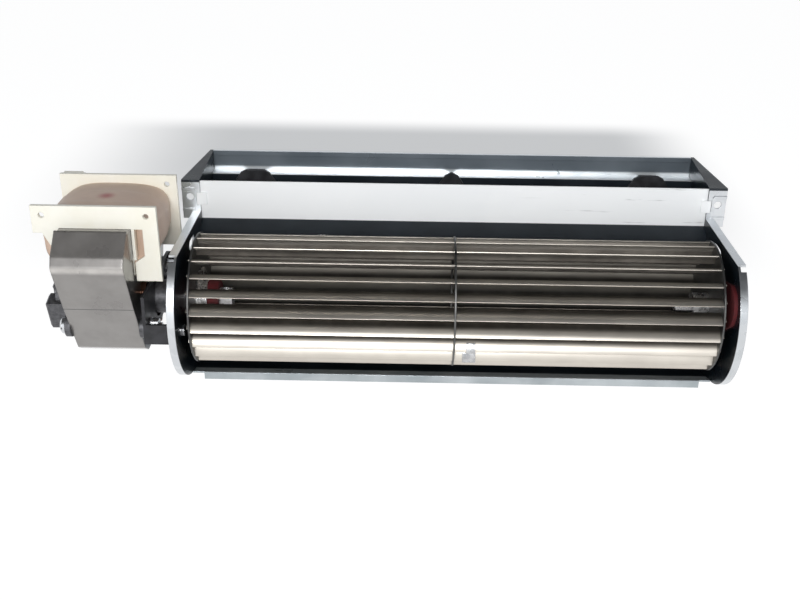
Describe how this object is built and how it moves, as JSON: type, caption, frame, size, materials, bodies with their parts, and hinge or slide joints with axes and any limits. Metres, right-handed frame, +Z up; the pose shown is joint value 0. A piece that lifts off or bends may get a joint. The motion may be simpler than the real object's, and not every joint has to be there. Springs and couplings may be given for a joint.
{
  "type": "cross flow fan",
  "caption": "Long cross flow fan with a curved-blade impeller between folded end plates, an upward outlet duct and a shaded-pole motor on one end.",
  "frame": {"origin": "centre of the base hole pattern, on the plane that the fan stands on", "axes": "+X along the shaft, away from the motor; +Y from the inlet to the outlet side; +Z up, out of the outlet"},
  "size_m": [0.3222, 0.1178, 0.0934],
  "materials": {
    "blade_metal": "satin strip, bare",
    "disc_metal": "satin",
    "red_silicone": "matt silicone",
    "turned_steel": "turned",
    "dark_steel": "black oxide",
    "spring_steel": "bright",
    "rotor_metal": "ground",
    "washer_plastic": "plain",
    "galvanised_scroll": "galvanised sheet",
    "galvanised_front": "galvanised sheet",
    "galvanised_plate": "galvanised sheet",
    "bronze": "sintered",
    "lamination": "varnished laminations",
    "copper": "bare copper",
    "ivory_plastic": "moulded",
    "coil_tape": "tape over the winding",
    "tin_plate": "tinned",
    "bridge_metal": "die-cast, dark",
    "black_sheet": "black",
    "zinc_fastener": "zinc plated"
  },
  "bodies": {
    "housing": {"scroll_sheet": "galvanised_scroll", "throat_braces": "black_sheet", "brace_rivets": "zinc_fastener", "tongue_sheet": "galvanised_front", "motor_side_plate": "galvanised_plate", "bearing_side_plate": "galvanised_plate", "bearing_damper": "red_silicone", "bearing_bush": "bronze", "stator_core": "lamination", "coil_core": "lamination", "shading_rings": "copper", "bobbin": "ivory_plastic", "coil_winding": "coil_tape", "spade_terminals": "tin_plate", "inner_bridge": "bridge_metal", "outer_bridge": "bridge_metal", "motor_bushes": "bronze", "motor_bracket": "black_sheet", "bracket_rivets": "zinc_fastener", "through_screws": "zinc_fastener", "through_nuts": "zinc_fastener", "lock_washers": "zinc_fastener"},
    "rotor": {"impeller_blades": "blade_metal", "motor_end_disc": "disc_metal", "bearing_end_disc": "disc_metal", "centre_disc": "disc_metal", "hub_rubber": "red_silicone", "hub_carrier": "spring_steel", "hub_boss": "turned_steel", "grub_screw": "dark_steel", "stub_boss": "turned_steel", "stub_shaft": "turned_steel", "balance_clips": "spring_steel", "motor_shaft": "turned_steel", "rotor_cage": "rotor_metal", "thrust_washers": "washer_plastic"}
  },
  "joints": [
    {"name": "impeller_spin", "type": "hinge", "parent": "housing", "child": "rotor", "pos_m": [0, -0.038, 0.0415], "axis": [1, 0, 0], "continuous": true}
  ]
}
